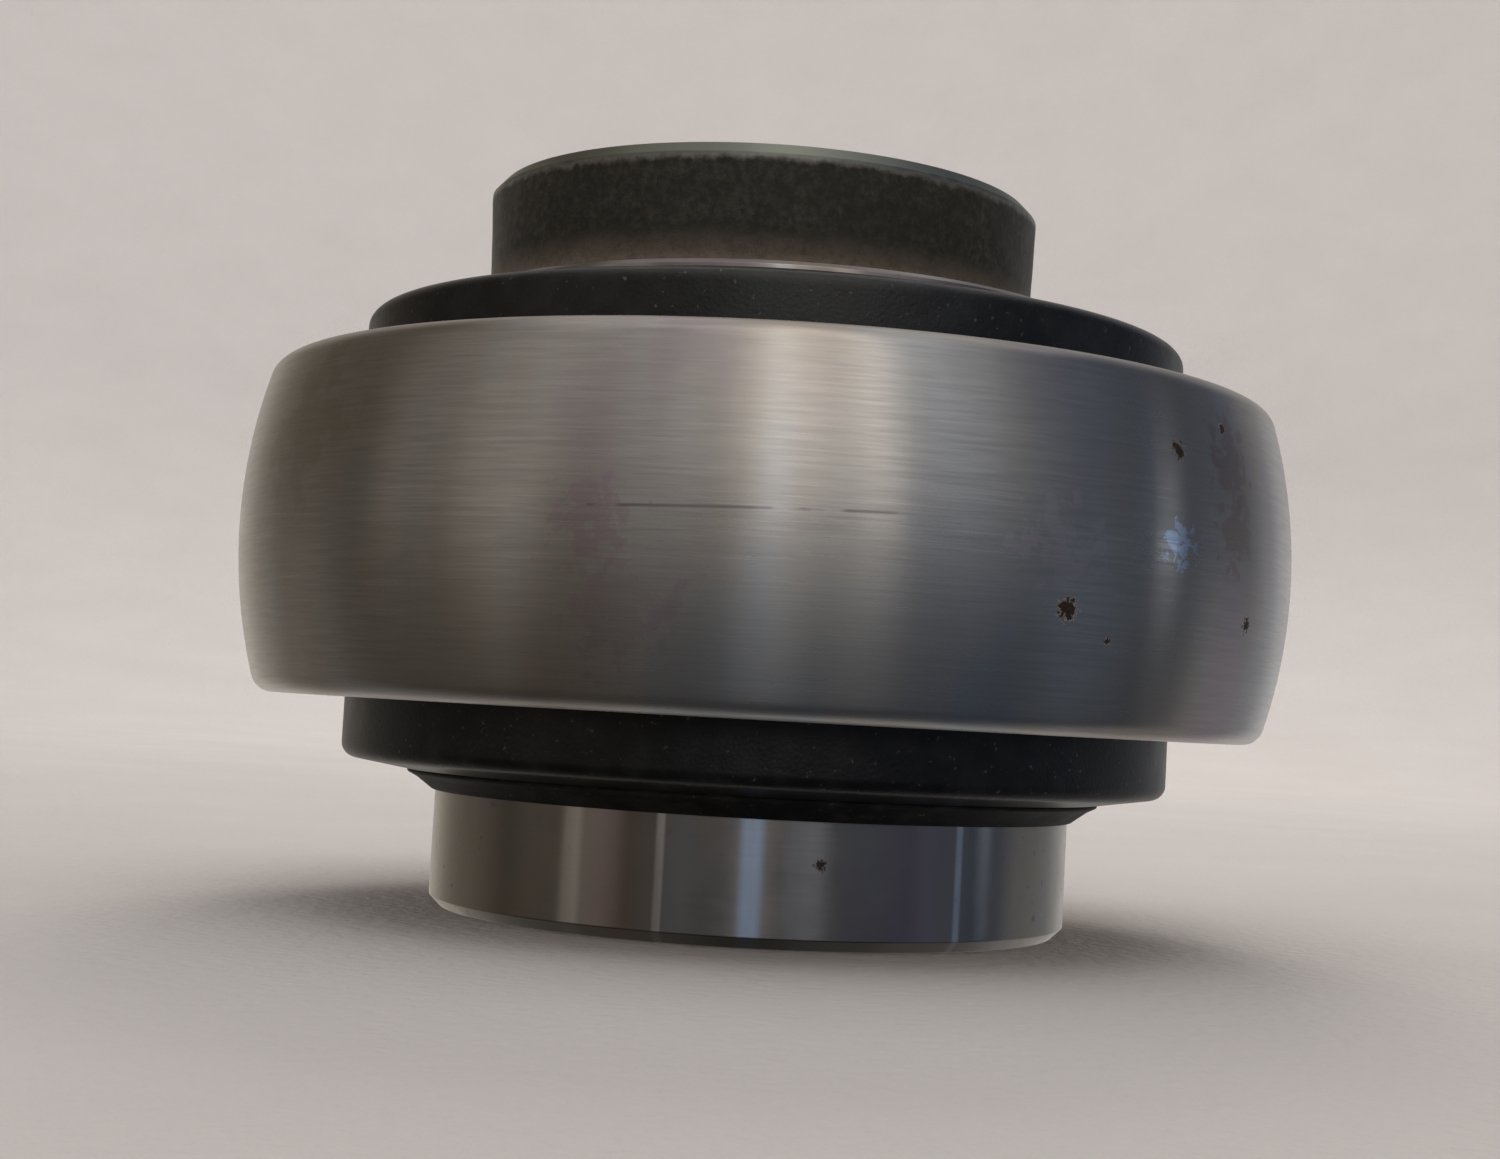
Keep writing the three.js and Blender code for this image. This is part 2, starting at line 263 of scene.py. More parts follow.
class Nodes:
    """Short ways to add nodes to a shader tree."""

    def __init__(self, tree):
        self.tree = tree
        tree.nodes.clear()

    def node(self, kind, sockets=None, **settings):
        node = self.tree.nodes.new(kind)
        for key, value in settings.items():
            setattr(node, key, value)
        for key, value in (sockets or {}).items():
            self.feed(node.inputs[key], value)
        return node

    def feed(self, socket, value):
        if isinstance(value, bpy.types.NodeSocket):
            self.tree.links.new(value, socket)
        else:
            socket.default_value = value

    def vector(self, operation, a, b=None, scale=None):
        node = self.node("ShaderNodeVectorMath", {0: a}, operation=operation)
        if b is not None:
            self.feed(node.inputs[1], b)
        if scale is not None:
            self.feed(node.inputs["Scale"], scale)
        return node.outputs["Value" if operation in ("LENGTH", "DISTANCE", "DOT_PRODUCT") else "Vector"]

    def math(self, operation, a, b=0.0):
        return self.node("ShaderNodeMath", {0: a, 1: b}, operation=operation).outputs[0]

    def both(self, first, *others):
        """The product of several masks."""
        for other in others:
            first = self.math("MULTIPLY", first, other)
        return first

    def either(self, first, *others):
        """The highest of several masks."""
        for other in others:
            first = self.math("MAXIMUM", first, other)
        return first

    def ramp(self, value, low, high, start=0.0, end=1.0):
        """A smooth step from start to end as value goes from low to high."""
        if low > high:
            low, high, start, end = high, low, end, start
        sockets = {"Value": value, "From Min": low, "From Max": high, "To Min": start, "To Max": end}
        return self.node("ShaderNodeMapRange", sockets, interpolation_type="SMOOTHSTEP").outputs[0]

    def band(self, value, low, high, soft):
        """1 between low and high, falling to 0 over soft on each side."""
        return self.both(self.ramp(value, low - soft, low), self.ramp(value, high + soft, high))

    def mix(self, share, a, b):
        """A colour that goes from a to b as share goes from 0 to 1."""
        node = self.node("ShaderNodeMix", data_type="RGBA")
        self.feed(node.inputs["Factor"], share)
        for socket, value in ((node.inputs[6], a), (node.inputs[7], b)):
            self.feed(socket, (*value, 1.0) if isinstance(value, tuple) else value)
        return node.outputs[2]

    def blend(self, share, a, b):
        """A number that goes from a to b as share goes from 0 to 1."""
        return self.node("ShaderNodeMix", {0: share, 2: a, 3: b}, data_type="FLOAT").outputs[0]

    def noise(self, vector, scale, detail=2.0, rough=0.5):
        sockets = {"Vector": vector, "Scale": scale, "Detail": detail, "Roughness": rough}
        return self.node("ShaderNodeTexNoise", sockets).outputs[0]


def toward(angle, radius=1.0, height=0.0):
    """A point at an angle round the axis: 0 faces the camera, and 90 is on its right."""
    turn = math.radians(angle)
    return (radius * math.sin(turn), -radius * math.cos(turn), height)


class Finish(Nodes):
    """A material with one Principled shader, fed from places in millimetres on the object."""

    def __init__(self, name):
        self.material = bpy.data.materials.new(name)
        self.material.use_nodes = True
        super().__init__(self.material.node_tree)
        self.shader = self.node("ShaderNodeBsdfPrincipled")
        output = self.node("ShaderNodeOutputMaterial")
        self.tree.links.new(self.shader.outputs[0], output.inputs[0])
        coordinates = self.node("ShaderNodeTexCoord").outputs["Object"]
        self.place = self.vector("SCALE", coordinates, scale=1 / MM)
        x, y, self.z = self.node("ShaderNodeSeparateXYZ", {0: self.place}).outputs
        flat = self.node("ShaderNodeCombineXYZ", {0: x, 1: y}).outputs[0]
        self.radius = self.vector("LENGTH", flat)
        self.around = self.vector("NORMALIZE", flat)

    def set(self, **values):
        """Sets sockets of the shader, such as Base_Color."""
        for key, value in values.items():
            self.feed(self.shader.inputs[key.replace("_", " ")], value)

    def rolled(self, along, across, radius, shift=0.0):
        """Places for a pattern on a round surface: its scale round the ring, then its scale along Z."""
        spread = self.vector("SCALE", self.around, scale=along * radius)
        rise = self.math("MULTIPLY", self.math("ADD", self.z, shift), across)
        return self.vector("ADD", spread, self.node("ShaderNodeCombineXYZ", {2: rise}).outputs[0])

    def off(self, angle):
        """Degrees round the axis from the given angle, always positive."""
        cosine = self.vector("DOT_PRODUCT", self.around, toward(angle))
        return self.math("DEGREES", self.math("ARCCOSINE", cosine))

    def bump(self, height, distance, normal=None):
        sockets = {"Height": height, "Distance": distance * MM}
        if normal is not None:
            sockets["Normal"] = normal
        return self.node("ShaderNodeBump", sockets).outputs[0]

    def spot(self, radius, angle, height, size, ragged=1.5):
        """A ragged round mark on a round surface."""
        wander = self.noise(self.place, 2.2 / size, 3.0, 0.6)
        distance = self.vector("DISTANCE", self.place, toward(angle, radius, height))
        stray = self.math("MULTIPLY", self.math("SUBTRACT", wander, 0.5), 2 * ragged * size)
        return self.ramp(self.math("ADD", distance, stray), size, size * 0.6)

    def turned(self):
        """Anisotropic highlights drawn out across the circular grinding lines."""
        tangent = self.node("ShaderNodeTangent", direction_type="RADIAL", axis="Z").outputs[0]
        self.set(Anisotropic=0.92, Anisotropic_Rotation=0.25, Tangent=tangent)


# ---------- finishes ----------

STEEL = (0.60, 0.58, 0.56)
STEEL_BROWN = (0.50, 0.44, 0.38)
STEEL_PURPLE = (0.53, 0.44, 0.50)
STEEL_BLUE = (0.50, 0.55, 0.62)
STEEL_PINK = (0.78, 0.70, 0.70)
STEEL_DULL = (0.40, 0.38, 0.37)
PATINA = (0.46, 0.42, 0.34)
# Painted shade that darkens the steel of the land
LAND_PAINTED_SHADE = (0.60, 0.58, 0.58)
# Dark dirt specks, and the painted shade on the inner ring's lower edge break
DIRT_AND_EDGE_SHADE = (0.12, 0.11, 0.09)
RUST = (0.030, 0.020, 0.012)
SCALE_DARK = (0.028, 0.027, 0.021)
SCALE_LIGHT = (0.082, 0.077, 0.056)
SCALE_TAN = (0.19, 0.155, 0.115)
SCALE_WORN = (0.34, 0.36, 0.31)
CAP_BLACK = (0.004, 0.004, 0.005)
CAP_GREY = (0.010, 0.011, 0.012)
# Dust, and painted light from above, on the upper face of the cam-end seal
CAP_DUST_AND_TOP_LIGHT = (0.062, 0.064, 0.065)
RUBBER_BLACK = (0.006, 0.006, 0.005)
RUBBER_GREY = (0.020, 0.019, 0.016)
DUST = (0.13, 0.115, 0.085)

# Rust pits on the rolling surface: angle, height and radius. The last three are on the far side
RUST_PITS = (
    (28.5, -2.2, 0.40),
    (55.5, -2.1, 0.30),
    (42.0, 3.3, 0.34),
    (50.5, 4.4, 0.20),
    (33.5, -3.1, 0.14),
    (-131.0, 1.9, 0.35),
    (148.0, -3.2, 0.28),
    (-88.0, -2.6, 0.22),
)
# Stains on the rolling surface: angle, height, radius, strength and colour
STAINS = (
    (-16.0, -0.3, 1.3, 0.40, (0.50, 0.34, 0.46)),
    (-12.5, -3.2, 1.7, 0.32, (0.48, 0.36, 0.46)),
    (51.0, 3.4, 1.3, 0.50, (0.42, 0.28, 0.24)),
    (52.0, 1.0, 1.2, 0.45, (0.42, 0.28, 0.24)),
    (27.0, -0.1, 1.4, 0.40, (0.72, 0.60, 0.62)),
    (42.3, 0.2, 0.75, 0.80, (0.66, 0.78, 0.98)),
    (-52.0, 3.0, 2.4, 0.30, (0.46, 0.38, 0.30)),
    (128.0, 0.5, 2.8, 0.40, (0.44, 0.36, 0.42)),
)
# Streaks down the land, partly painted reflections of the lights and partly stains: angle, half width,
# strength and colour
REFLECTION_AND_STAIN_STREAKS = (
    (-46.0, 8.0, 0.35, (0.34, 0.29, 0.25)),
    (-29.7, 1.6, 0.60, (0.72, 0.69, 0.66)),
    (-22.0, 3.2, 0.60, (0.32, 0.22, 0.25)),
    (-14.1, 0.6, 0.90, (1.00, 0.97, 0.97)),
    (-7.0, 2.6, 0.40, (0.40, 0.40, 0.40)),
    (0.5, 1.6, 0.70, (0.55, 0.68, 0.92)),
    (9.0, 3.0, 0.35, (0.42, 0.45, 0.52)),
    (27.0, 4.0, 0.60, (0.40, 0.30, 0.36)),
    (36.5, 0.6, 0.80, (0.85, 0.90, 0.96)),
    (46.0, 6.0, 0.40, (0.38, 0.40, 0.42)),
    (140.0, 5.0, 0.50, (0.40, 0.32, 0.36)),
    (171.0, 0.8, 0.80, (0.85, 0.88, 0.92)),
)
# One long shallow scratch. Its angles are in degrees. Its height climbs evenly from the start angle
SCRATCH_MIDDLE = -5
SCRATCH_HALF_LENGTH = 15
SCRATCH_START = -60
SCRATCH_START_HEIGHT = -0.28
SCRATCH_RISE = 0.008
SCRATCH_COLOUR = (0.14, 0.11, 0.13)
TRACK_HALF_WIDTH = 0.4
# A nick in the land and a moulding bump on the lip: angle, height and radius
NICK = (11.5, -10.9, 0.22)
LIP_FLASH = (-35.5, -9.3, 0.3)
# The land's patina lies round these two angles
PATINA_LEFT = -75
PATINA_RIGHT = 70

# Roughness of the finishes. The first two go from the lowest to the highest
RING_ROUGH = (0.24, 0.33)
LAND_ROUGH = (0.13, 0.19)
TRACK_ROUGH = 0.23
PIT_ROUGH = 0.8
PATINA_ROUGH = 0.42
WORN_ROUGH = 0.5
SCALE_ROUGH = 0.56
# Depths of the bumps in millimetres
GRINDING_DEPTH = 0.0022
BROAD_DEPTH = 0.004
WAVE_DEPTH = 0.004
PIT_DEPTH = 0.012
LAND_GRINDING_DEPTH = 0.0012
LAND_WAVE_DEPTH = 0.006
CAM_GRAIN_DEPTH = 0.07
LIP_FLASH_DEPTH = 0.15
# How much of its colour a hidden steel keeps in its dull patches
DULL_SHARE = 0.72


def tinted_steel(finish, radius):
    """Bare steel with faint brown, purple and blue areas."""
    broad = finish.noise(finish.rolled(0.16, 0.05, radius), 1.0)
    second = finish.noise(finish.rolled(0.22, 0.08, radius, 40.0), 1.0)
    colour = finish.mix(finish.ramp(broad, 0.45, 0.72), STEEL, STEEL_BROWN)
    colour = finish.mix(finish.ramp(second, 0.55, 0.75, 0.0, 0.7), colour, STEEL_PURPLE)
    return finish.mix(finish.ramp(second, 0.45, 0.28, 0.0, 0.7), colour, STEEL_BLUE)


def ground_lines(finish, radius):
    """Grinding marks: fine short lines round the ring, broader ones, and waves that streak a highlight."""
    fine = finish.noise(finish.rolled(0.35, 9.0, radius), 1.0, 3.0, 0.65)
    broad = finish.noise(finish.rolled(0.08, 1.6, radius), 1.0, 2.0)
    waves = finish.noise(finish.rolled(0.55, 0.03, radius), 1.0, 2.0, 0.6)
    return fine, broad, waves


def sphere_radius(height):
    """How far from the axis the spherical rolling surface is at a height."""
    return math.sqrt(OUTER_RADIUS**2 - height**2)


def ground_steel():
    """The outer ring: grinding marks, stains, a polished middle track, a scratch and rust pits."""
    finish = Finish("ground_steel")
    fine, broad, waves = ground_lines(finish, OUTER_RADIUS)
    colour = tinted_steel(finish, OUTER_RADIUS)
    colour = finish.mix(finish.ramp(fine, 0.35, 0.7, 0.0, 0.42), colour, STEEL_DULL)
    for angle, height, size, strength, stain in STAINS:
        patch = finish.spot(sphere_radius(height), angle, height, size, 2.2)
        colour = finish.mix(finish.math("MULTIPLY", patch, strength), colour, stain)

    scuffs = finish.noise(finish.rolled(0.14, 6.0, OUTER_RADIUS, 9.0), 1.0, 4.0, 0.75)
    track = finish.both(
        finish.band(finish.z, -TRACK_HALF_WIDTH, TRACK_HALF_WIDTH, 0.3),
        finish.ramp(scuffs, 0.42, 0.58),
    )
    rubbed = finish.both(finish.band(finish.z, -1.6, 1.2, 1.5), finish.ramp(scuffs, 0.60, 0.72), 0.6)
    colour = finish.mix(rubbed, colour, STEEL_PINK)

    climb = finish.math("MULTIPLY", finish.off(SCRATCH_START), SCRATCH_RISE)
    scratch_height = finish.math("ADD", climb, SCRATCH_START_HEIGHT)
    scratch_off = finish.math("ABSOLUTE", finish.math("SUBTRACT", finish.z, scratch_height))
    broken = finish.noise(finish.rolled(0.8, 0.5, OUTER_RADIUS, 3.0), 1.0, 2.0)
    scratch = finish.both(
        finish.ramp(scratch_off, 0.07, 0.02),
        finish.ramp(finish.off(SCRATCH_MIDDLE), SCRATCH_HALF_LENGTH + 4, SCRATCH_HALF_LENGTH),
        finish.ramp(broken, 0.35, 0.55),
    )
    pits = finish.either(*[finish.spot(sphere_radius(mark[1]), *mark) for mark in RUST_PITS])

    colour = finish.mix(finish.math("MULTIPLY", scratch, 0.55), colour, SCRATCH_COLOUR)
    colour = finish.mix(pits, colour, RUST)
    rough = finish.blend(fine, *RING_ROUGH)
    rough = finish.blend(track, rough, TRACK_ROUGH)
    rough = finish.blend(pits, rough, PIT_ROUGH)
    bump = finish.bump(fine, GRINDING_DEPTH)
    bump = finish.bump(broad, BROAD_DEPTH, bump)
    bump = finish.bump(waves, WAVE_DEPTH, bump)
    bump = finish.bump(finish.math("SUBTRACT", 1.0, pits), PIT_DEPTH, bump)
    finish.set(Base_Color=colour, Roughness=rough, Metallic=finish.blend(pits, 1.0, 0.1), Normal=bump)
    finish.turned()
    return finish.material


def ring_steel():
    """The inner ring: a ground land, a dark rough cam and a clean turned end face."""
    finish = Finish("ring_steel")
    fine, _, waves = ground_lines(finish, LAND_RADIUS)
    above_shoulder = finish.ramp(finish.z, SHOULDER_HEIGHT - 0.02, SHOULDER_HEIGHT + 0.06)
    chamfer_foot = INNER_HALF_WIDTH - CAM_CHAMFER
    wear = finish.noise(finish.place, 1.6, 4.0, 0.6)
    worn_height = finish.math("ADD", finish.z, finish.math("MULTIPLY", wear, 0.5))
    below_chamfer = finish.ramp(worn_height, chamfer_foot + 0.3, chamfer_foot - 0.1)
    outside = finish.ramp(finish.radius, BORE_RADIUS + 0.6, BORE_RADIUS + 1.0)
    scaled = finish.both(above_shoulder, below_chamfer, outside)

    grain = finish.noise(finish.place, 3.2, 6.0, 0.78)
    blotch = finish.noise(finish.place, 0.8, 3.0)
    scale = finish.mix(finish.ramp(grain, 0.38, 0.72), SCALE_DARK, SCALE_LIGHT)
    scale = finish.mix(finish.ramp(blotch, 0.35, 0.65, 0.5, 0.0), scale, SCALE_DARK)
    uneven = finish.math("MULTIPLY", finish.math("ADD", blotch, grain), 0.8)
    tan_edge = finish.math("ADD", finish.z, uneven)
    tan = finish.ramp(tan_edge, SHOULDER_HEIGHT + 2.3, SHOULDER_HEIGHT + 1.0)
    scale = finish.mix(finish.both(tan, finish.ramp(grain, 0.3, 0.6, 0.4, 1.0)), scale, SCALE_TAN)

    # Painted shade: the land's steel is darkened as if shaded by the outer ring
    steel = finish.vector("MULTIPLY", tinted_steel(finish, LAND_RADIUS), LAND_PAINTED_SHADE)
    ragged_edge = finish.noise(finish.rolled(0.9, 0.12, LAND_RADIUS, 5.0), 1.0, 3.0, 0.6)
    plain_end = finish.ramp(finish.z, -4.0, -6.0)
    # Painted reflections of the lights, and stains, streaked down the plain-end land
    for angle, half_width, strength, reflection_and_stain in REFLECTION_AND_STAIN_STREAKS:
        across = finish.ramp(finish.off(angle), half_width * 1.7, half_width * 0.5)
        share = finish.both(across, finish.ramp(ragged_edge, 0.25, 0.55, 0.6, 1.0), plain_end, strength)
        steel = finish.mix(share, steel, reflection_and_stain)
    stain = finish.noise(finish.place, 1.1, 4.0, 0.6)
    left = finish.ramp(finish.off(PATINA_LEFT), 40, 14)
    right = finish.ramp(finish.off(PATINA_RIGHT), 32, 12)
    side = finish.either(left, right, 0.2)
    stained = finish.ramp(stain, 0.25, 0.75, 0.4, 1.0)
    patina = finish.both(side, stained, finish.ramp(finish.z, 0.0, -6.0), 0.8)
    steel = finish.mix(patina, steel, PATINA)
    dots = finish.both(side, finish.ramp(finish.noise(finish.place, 2.4, 2.0), 0.66, 0.76), 0.6)
    steel = finish.mix(dots, steel, DIRT_AND_EDGE_SHADE)
    nick = finish.spot(LAND_RADIUS, *NICK)
    steel = finish.mix(nick, steel, RUST)

    chamfer = finish.both(finish.ramp(worn_height, chamfer_foot - 0.1, chamfer_foot + 0.3), outside)
    steel = finish.mix(chamfer, steel, SCALE_WORN)
    # Painted shade: the lower edge break is darkened, most where it faces the camera
    lower_edge_shade = finish.both(
        finish.ramp(finish.z, EDGE_BREAK - INNER_HALF_WIDTH + 0.03, EDGE_BREAK - INNER_HALF_WIDTH - 0.02),
        finish.ramp(finish.off(-4), 62, 36, 0.15, 1.0),
    )
    steel = finish.mix(finish.math("MULTIPLY", lower_edge_shade, 0.85), steel, DIRT_AND_EDGE_SHADE)

    rough = finish.blend(fine, *LAND_ROUGH)
    rough = finish.blend(patina, rough, PATINA_ROUGH)
    rough = finish.blend(chamfer, rough, WORN_ROUGH)
    bump = finish.bump(fine, LAND_GRINDING_DEPTH)
    bump = finish.bump(waves, LAND_WAVE_DEPTH, bump)
    bump = finish.bump(finish.both(scaled, grain), CAM_GRAIN_DEPTH, bump)
    finish.set(
        Base_Color=finish.mix(scaled, steel, scale),
        Roughness=finish.blend(scaled, rough, SCALE_ROUGH),
        Metallic=finish.blend(finish.either(scaled, nick), 1.0, 0.15),
        Normal=bump,
    )
    finish.turned()
    return finish.material


def dusty_black(name, dark, light, rough_low, rough_high, grain_depth, bumps=()):
    """A black part with clouded patches, fine grain, dust and painted light on its upper face, and any
    small moulded bumps.
    """
    finish = Finish(name)
    cloud = finish.noise(finish.place, 0.9, 3.0)
    speck = finish.noise(finish.place, 4.5, 2.0)
    grain = finish.noise(finish.place, 8.0, 3.0)
    colour = finish.mix(finish.ramp(cloud, 0.4, 0.7), dark, light)
    # Dust and painted light from above: the face above the cap's shoulder is made lighter
    dust_and_top_light = finish.both(finish.ramp(finish.z, SHROUD_SHOULDER + 0.1, SHROUD_SHOULDER + 0.6), cloud)
    colour = finish.mix(dust_and_top_light, colour, CAP_DUST_AND_TOP_LIGHT)
    colour = finish.mix(finish.ramp(speck, 0.66, 0.78, 0.0, 0.7), colour, DUST)
    bump = finish.bump(grain, grain_depth)
    for radius, angle, height, size in bumps:
        bump = finish.bump(finish.spot(radius, angle, height, size), LIP_FLASH_DEPTH, bump)
    finish.set(
        Base_Color=colour,
        Roughness=finish.blend(cloud, rough_low, rough_high),
        Metallic=0.0,
        Specular_IOR_Level=0.45,
        Normal=bump,
    )
    return finish.material


def plain_steel(name, colour, rough_low, rough_high, grain_depth):
    """The steel of a hidden piece: slight clouding, fine grain and oil-dulled patches."""
    finish = Finish(name)
    cloud = finish.noise(finish.place, 0.7, 3.0)
    grain = finish.noise(finish.place, 8.0, 3.0, 0.6)
    dull = tuple(DULL_SHARE * channel for channel in colour)
    finish.set(
        Base_Color=finish.mix(finish.ramp(cloud, 0.35, 0.7), colour, dull),
        Roughness=finish.blend(cloud, rough_low, rough_high),
        Metallic=1.0,
        Normal=finish.bump(grain, grain_depth),
    )
    return finish.material


# ---------- pieces ----------

# Slack in telling the cam's points from the others, and the unevenness of its wall
TOLERANCE = 0.01
CAM_DENT = 0.03
CAM_DENT_SCALE = 0.8


def groove_angle(cylinder_radius, groove_centre):
    """The angle from the middle plane at which a ball groove's arc meets a ring's cylinder, in degrees."""
    return math.degrees(math.acos((cylinder_radius - groove_centre) / GROOVE_RADIUS))


def outer_ring(material):
    """The outer ring, with its ball groove and a seat for each seal."""
    corner_height = OUTER_HALF_WIDTH - OUTER_CORNER
    corner_radius = math.sqrt((OUTER_RADIUS - OUTER_CORNER) ** 2 - corner_height**2)
    meet = math.degrees(math.atan2(corner_height, corner_radius))
    groove_centre = PITCH_RADIUS + BALL_RADIUS + RACE_CLEARANCE - GROOVE_RADIUS
    groove_edge = groove_angle(OUTER_BORE_RADIUS, groove_centre)
    seat = [
        (SEAL_MOUTH_RADIUS, OUTER_HALF_WIDTH, SHOULDER_BREAK),
        (SEAL_MOUTH_RADIUS, SEAL_GROOVE_TOP, FINE),
        (SEAL_GROOVE_RADIUS, SEAL_GROOVE_TOP, EASED),
        (SEAL_GROOVE_RADIUS, SEAL_GROOVE_BOTTOM, EASED),
        (OUTER_BORE_RADIUS, SEAL_GROOVE_BOTTOM, FINE),
    ]
    outline = rounded(
        [
            *arc(corner_radius, -corner_height, OUTER_CORNER, -90, -meet, CORNER_STEPS),
            *arc(0, 0, OUTER_RADIUS, -meet, meet, SURFACE_STEPS)[1:-1],
            *arc(corner_radius, corner_height, OUTER_CORNER, meet, 90, CORNER_STEPS),
            (corner_radius - FINE, OUTER_HALF_WIDTH),
            *seat,
            *arc(groove_centre, 0, GROOVE_RADIUS, groove_edge, -groove_edge, GROOVE_STEPS),
            *mirrored(seat),
            (corner_radius - FINE, -OUTER_HALF_WIDTH),
        ]
    )
    piece = lathe("outer_ring_fine", outline, RING_SEGMENTS)
    finish_piece(piece, "outer", "ground_steel", material, "outer_ring")


def inner_ring(material):
    """The inner ring in one piece with its eccentric cam."""
    groove_centre = PITCH_RADIUS - BALL_RADIUS - RACE_CLEARANCE + GROOVE_RADIUS
    groove_edge = groove_angle(LAND_RADIUS, groove_centre)
    wall_foot = SHOULDER_HEIGHT + CAM_FILLET
    chamfer_foot = INNER_HALF_WIDTH - CAM_CHAMFER
    wall_top = chamfer_foot - EASED
    fillet_radius = CAM_RADIUS_BASE + CAM_FILLET
    wall = []
    for step in range(1, CAM_WALL_ROWS):
        share = step / CAM_WALL_ROWS
        radius = CAM_RADIUS_BASE + (CAM_RADIUS_TOP - CAM_RADIUS_BASE) * share
        wall.append((radius, wall_foot + (wall_top - wall_foot) * share))
    outline = rounded(
        [
            (BORE_RADIUS, EDGE_BREAK - INNER_HALF_WIDTH, CRISP),
            (BORE_RADIUS + EDGE_BREAK, -INNER_HALF_WIDTH, CRISP),
            (LAND_RADIUS - EDGE_BREAK, -INNER_HALF_WIDTH, LAND_EDGE),
            (LAND_RADIUS, EDGE_BREAK - INNER_HALF_WIDTH, LAND_EDGE),
            *arc(groove_centre, 0, GROOVE_RADIUS, 360 - groove_edge, groove_edge, GROOVE_STEPS),
            (LAND_RADIUS, SHOULDER_HEIGHT - SHOULDER_BREAK, CRISP),
            (LAND_RADIUS - SHOULDER_BREAK, SHOULDER_HEIGHT, CRISP),
            *arc(fillet_radius, wall_foot, CAM_FILLET, 270, 180, FILLET_STEPS),
            *wall,
            (CAM_RADIUS_TOP, chamfer_foot, FINE),
            (CAM_RADIUS_TOP - CAM_CHAMFER, INNER_HALF_WIDTH, FINE),
            (BORE_RADIUS + EDGE_BREAK, INNER_HALF_WIDTH, CRISP),
            (BORE_RADIUS, INNER_HALF_WIDTH - EDGE_BREAK, CRISP),
        ]
    )

    def shape(angle, radius, height):
        """Shifts the cam off the axis and gives its wall the slight unevenness of a forged surface."""
        in_cam_wall = BORE_RADIUS + 1 < radius < fillet_radius + TOLERANCE
        if height < SHOULDER_HEIGHT - TOLERANCE or not in_cam_wall:
            return around(angle, radius, height)
        if wall_foot < height < INNER_HALF_WIDTH - EASED:
            place = Vector(around(angle, radius, height))
            radius += CAM_DENT * (noise.noise(place * CAM_DENT_SCALE) - 1)
        x, y, z = around(angle, radius, height)
        return (x + CAM_OFFSET, y, z)

    piece = lathe("inner_ring_fine", outline, RING_SEGMENTS, shape)
    finish_piece(piece, "inner", "ring_steel", material, "inner_ring")


def shroud_outline():
    """The drawn black cap of the seal, from its rim in the outer ring to its opening."""
    inside = SHROUD_RADIUS - SHROUD_THICKNESS
    corner = SHROUD_RADIUS - SHROUD_CORNER
    under = SHROUD_EYE_HEIGHT - SHROUD_THICKNESS
    return rounded(
        [
            (inside, FLANGE_BOTTOM, FINE),
            (FLANGE_RADIUS, FLANGE_BOTTOM, FINE),
            (FLANGE_RADIUS, FLANGE_TOP, SHEET_EDGE),
            (SHROUD_RADIUS, FLANGE_TOP, SHROUD_ROOT),
            *arc(corner, SHROUD_SHOULDER, SHROUD_CORNER, 0, SHROUD_CORNER_TURN, SHROUD_CORNER_STEPS),
            (SHROUD_EYE_RADIUS, SHROUD_EYE_HEIGHT, EASED),
            (SHROUD_EYE_RADIUS, under, SHEET_EDGE),
            (inside, SHROUD_INSIDE_HEIGHT, SHROUD_INSIDE_CORNER),
        ]
    )


def lip_outline(end):
    """The rubber lip: a foot behind the cap, a sleeve, a bead under the opening and an edge by the land."""
    bead = SHROUD_EYE_HEIGHT + LIP_BEAD_RISE
    rise = end - bead
    return rounded(
        [
            (LIP_SLEEVE_INNER, FLANGE_BOTTOM, FINE),
            (LIP_FOOT_RADIUS, FLANGE_BOTTOM, EASED),
            (LIP_FOOT_RADIUS, FLANGE_TOP, EASED),
            (LIP_SLEEVE_OUTER, FLANGE_TOP + LIP_FOOT_SLOPE, LIP_FOOT_EASE),
            (LIP_SLEEVE_OUTER, bead - LIP_BEAD_UNDERCUT, EASED),
            (LIP_BEAD_RADIUS, bead, EASED),
            (LIP_BEAD_RADIUS - LIP_BEAD_WIDTH, bead + rise * LIP_BEAD_SLOPE, EASED),
            (LIP_RADIUS, end, FINE),
            (LIP_RADIUS, end - LIP_EDGE_HEIGHT, LIP_EDGE_EASE),
            (LIP_SLEEVE_INNER, bead - LIP_ROOF, EASED),
        ]
    )


def backing_outline():
    """The steel washer behind the rubber."""
    return rounded(
        [
            (BACKING_EYE_RADIUS, BACKING_BOTTOM, FINE),
            (FLANGE_RADIUS, BACKING_BOTTOM, FINE),
            (FLANGE_RADIUS, BACKING_TOP, FINE),
            (BACKING_EYE_RADIUS, BACKING_TOP, FINE),
        ]
    )


def seal(side, place, lip_end, black, rubber, steel):
    """The three pieces of a seal. place puts an outline of the cam end on this side."""
    shroud = lathe(f"seal_shroud_{side}_fine", place(shroud_outline()), RING_SEGMENTS)
    finish_piece(shroud, "outer", "seal_black", black, f"seal_shroud_{side}")
    lip = lathe(f"seal_lip_{side}_fine", place(lip_outline(lip_end)), RING_SEGMENTS)
    finish_piece(lip, "outer", "seal_rubber", rubber, f"seal_lip_{side}")
    backing = lathe(f"seal_backing_{side}_fine", place(backing_outline()), RING_SEGMENTS)
    finish_piece(backing, "outer", "backing_steel", steel, f"seal_backing_{side}")


def on_pitch_circle(number, turn=0.0):
    """Where a ball or rivet sits: ball 1 is on +X, and a turn of 0.5 is half way to the next one."""
    angle = 2 * math.pi * (number - 1 + turn) / BALL_COUNT
    return Vector((PITCH_RADIUS * math.cos(angle), PITCH_RADIUS * math.sin(angle), 0))


